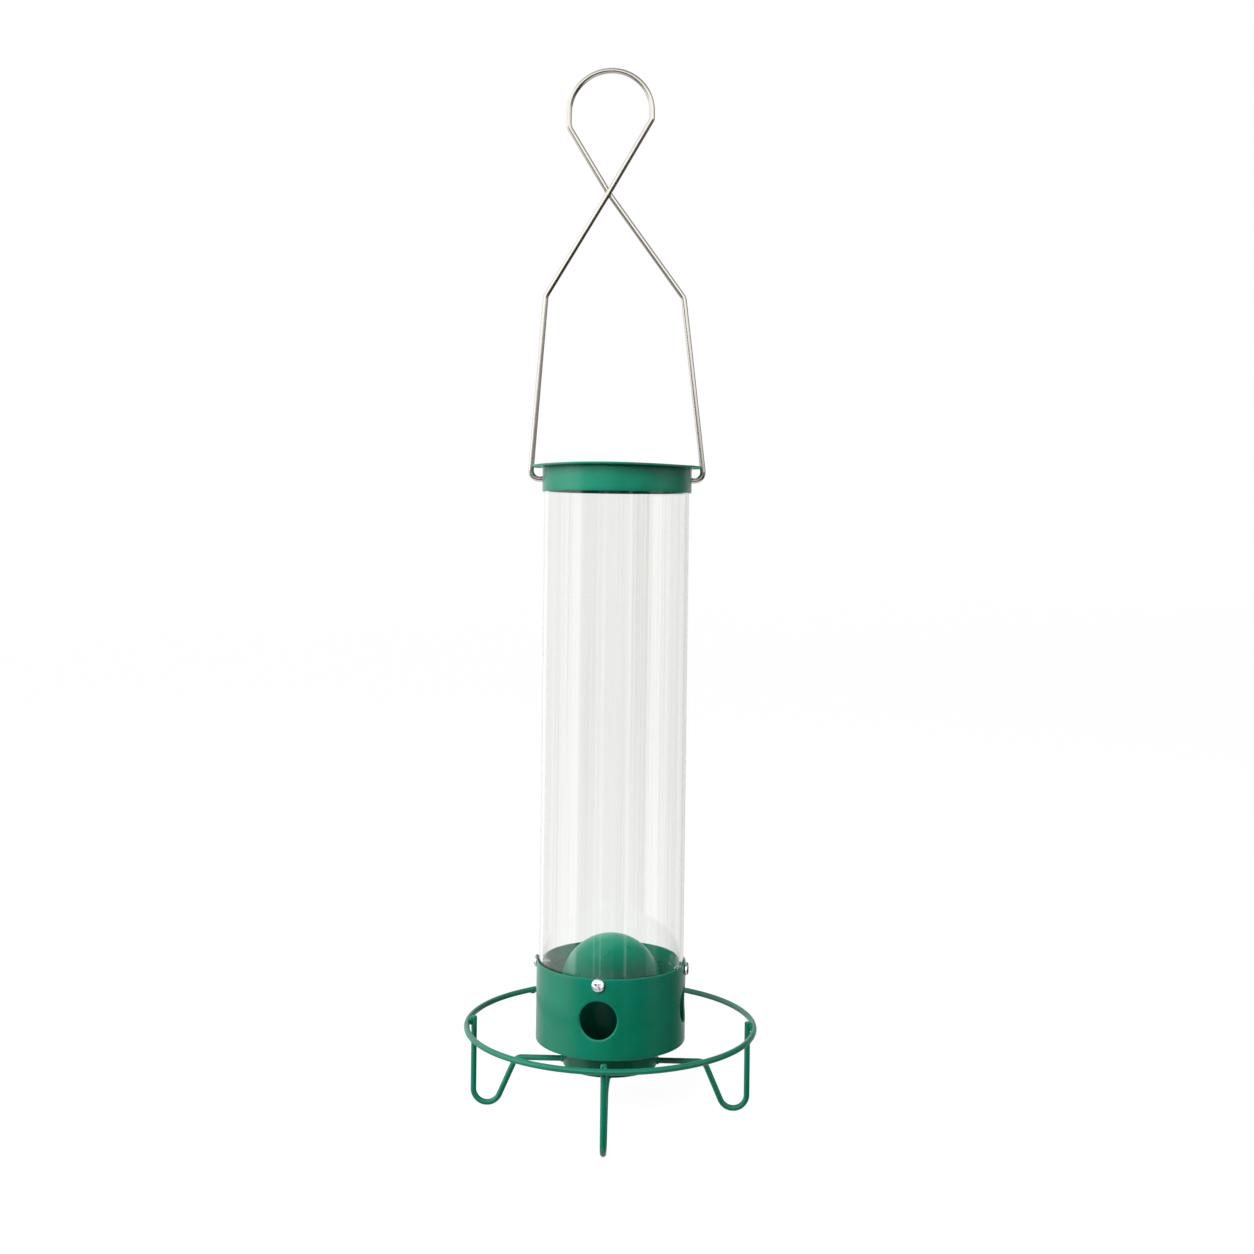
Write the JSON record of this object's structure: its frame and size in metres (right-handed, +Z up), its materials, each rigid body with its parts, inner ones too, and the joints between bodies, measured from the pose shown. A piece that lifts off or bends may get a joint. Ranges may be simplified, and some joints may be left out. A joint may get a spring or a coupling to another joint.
{
  "type": "hanging bird feeder",
  "caption": "Tube bird feeder with a bent-wire hanger, a lid that slides up it, a metal port housing and a wire perch ring that spins under it.",
  "frame": {"origin": "on the tube's axis, in the plane of the perch's four feet", "axes": "+Z up along the tube; the bail stands in the XZ plane and swings about X; -Y is the side that the picture shows"},
  "size_m": [0.1462, 0.1462, 0.5202],
  "materials": {
    "green_coat": "satin powder coat",
    "clear_tube": "clear extruded",
    "wire_steel": "drawn stainless wire",
    "screw_chrome": "bright plated",
    "zinc_steel": "bright zinc",
    "nylon": "natural nylon"
  },
  "bodies": {
    "feeder": {"tube": "clear_tube", "housing_band": "green_coat", "housing_floor": "green_coat", "seed_baffle": "green_coat", "baffle_nut": "zinc_steel", "pivot_bolt": "zinc_steel", "head_washer": "zinc_steel", "thrust_washer": "nylon", "housing_screw_1": "screw_chrome", "housing_screw_2": "screw_chrome", "housing_screw_3": "screw_chrome", "housing_screw_4": "screw_chrome"},
    "bail": {"bail": "wire_steel"},
    "lid": {"lid_plate": "green_coat", "lid_band": "green_coat"},
    "perch": {"perch_hub": "green_coat", "pivot_bush": "nylon", "perch_ring": "green_coat", "leg_1": "green_coat", "leg_2": "green_coat", "leg_3": "green_coat", "leg_4": "green_coat"}
  },
  "joints": [
    {"name": "bail_swing", "type": "hinge", "parent": "feeder", "child": "bail", "pos_m": [0, 0, 0.31445], "axis": [1, 0, 0], "range_deg": [-15, 15]},
    {"name": "lid_lift", "type": "slide", "parent": "feeder", "child": "lid", "axis": [0, 0, 1], "range_m": [0, 0.02]},
    {"name": "perch_spin", "type": "hinge", "parent": "feeder", "child": "perch", "pos_m": [0, 0, 0.03445], "axis": [0, 0, 1], "continuous": true}
  ]
}
